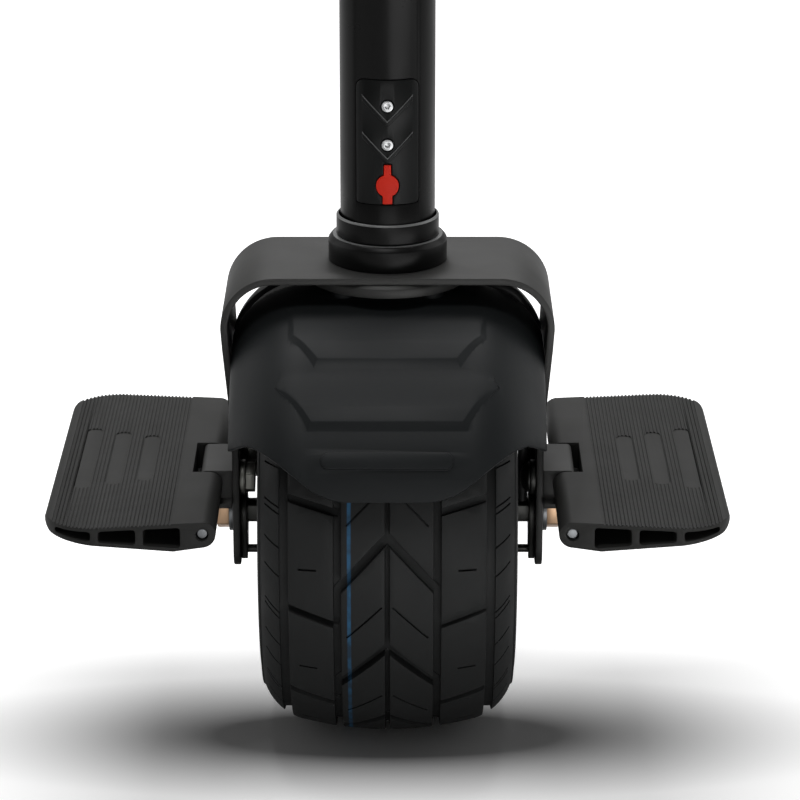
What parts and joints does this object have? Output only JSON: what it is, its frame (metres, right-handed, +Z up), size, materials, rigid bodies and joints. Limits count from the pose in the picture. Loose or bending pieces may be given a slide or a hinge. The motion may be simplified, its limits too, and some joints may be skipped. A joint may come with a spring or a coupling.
{
  "type": "electric unicycle",
  "caption": "Electric unicycle with a wide motor wheel in a bent plate arch, hinged foot pedals, a stepped fender and a battery stem that carries a straight handlebar.",
  "frame": {"origin": "the tyre's contact point on the ground, under the middle of the wheel", "axes": "+Z up along the stem, +X to the right along the axle, -Y to the front where the service cover is"},
  "size_m": [0.468, 0.259, 0.9469],
  "materials": {
    "tyre_rubber": "matte",
    "hub_paint": "satin black paint",
    "steel_zinc": "zinc plated",
    "yellow_zinc": "yellow passivated",
    "axle_steel": "ground",
    "magnet": "nickel",
    "lamination": "varnished",
    "copper": "enamelled",
    "frame_powder_coat": "matte powder coat",
    "stem_paint": "satin",
    "fender_plastic": "moulded",
    "pedal_paint": "matte paint",
    "cover_plastic": "moulded",
    "red_rubber": "matte",
    "grip_rubber": "matte",
    "cable_jacket": "satin",
    "inner_plastic": "moulded",
    "board": "solder mask",
    "cell_wrap": "shrink wrap",
    "button_steel": "brushed"
  },
  "bodies": {
    "frame": {"stator_core": "lamination", "stator_windings": "copper", "axle": "axle_steel", "left_axle_washer": "steel_zinc", "right_axle_washer": "steel_zinc", "left_axle_nut": "yellow_zinc", "right_axle_nut": "yellow_zinc", "arch_frame": "frame_powder_coat", "left_torque_plate": "axle_steel", "right_torque_plate": "axle_steel", "left_torque_pin": "axle_steel", "right_torque_pin": "axle_steel", "front_fender": "fender_plastic", "rear_fender": "fender_plastic", "front_fender_screws": "steel_zinc", "rear_fender_screws": "steel_zinc", "under_flange": "frame_powder_coat", "stem_socket": "stem_paint", "stem_lock_ring": "stem_paint", "stem_tube": "stem_paint", "service_cover": "cover_plastic", "cover_screws": "button_steel", "cover_backing": "inner_plastic", "charge_socket": "inner_plastic", "controller_board": "board", "board_capacitors": "inner_plastic", "battery_cells": "cell_wrap", "battery_holders": "inner_plastic", "left_hinge_bracket": "frame_powder_coat", "right_hinge_bracket": "frame_powder_coat", "left_bracket_bolts": "axle_steel", "right_bracket_bolts": "axle_steel", "motor_cable": "cable_jacket", "leg_cable_clip": "inner_plastic", "arch_cable_clip": "inner_plastic", "bar_head": "stem_paint", "bar_face_plate": "stem_paint", "face_plate_bolts": "steel_zinc", "handlebar": "stem_paint", "left_grip": "grip_rubber", "right_grip": "grip_rubber", "power_switch": "button_steel"},
    "wheel": {"tyre": "tyre_rubber", "hub_rim": "hub_paint", "left_hub_cover": "hub_paint", "right_hub_cover": "hub_paint", "left_cover_screws": "steel_zinc", "right_cover_screws": "steel_zinc", "left_bearing": "axle_steel", "right_bearing": "axle_steel", "magnet_ring": "magnet", "tyre_valve": "grip_rubber"},
    "left_footrest": {"left_pedal": "pedal_paint", "left_hinge_pin": "steel_zinc"},
    "right_footrest": {"right_pedal": "pedal_paint", "right_hinge_pin": "steel_zinc"},
    "port_flap": {"charge_plug": "red_rubber"},
    "power_key": {"power_button": "button_steel"}
  },
  "joints": [
    {"name": "wheel_spin", "type": "hinge", "parent": "frame", "child": "wheel", "pos_m": [0, 0, 0.127], "axis": [1, 0, 0], "continuous": true},
    {"name": "right_pedal_fold", "type": "hinge", "parent": "frame", "child": "right_footrest", "pos_m": [0.102, 0, 0.152], "axis": [0, -1, 0], "range_deg": [0, 88]},
    {"name": "left_pedal_fold", "type": "hinge", "parent": "frame", "child": "left_footrest", "pos_m": [-0.102, 0, 0.152], "axis": [0, 1, 0], "range_deg": [0, 88]},
    {"name": "charge_plug_flap", "type": "hinge", "parent": "frame", "child": "port_flap", "pos_m": [0, -0.02695, 0.3402], "axis": [-1, 0, 0], "range_deg": [0, 110]},
    {"name": "power_button_press", "type": "slide", "parent": "frame", "child": "power_key", "axis": [0, -1, 0], "range_m": [0, 0.002], "stiffness_N_per_m": 500}
  ]
}
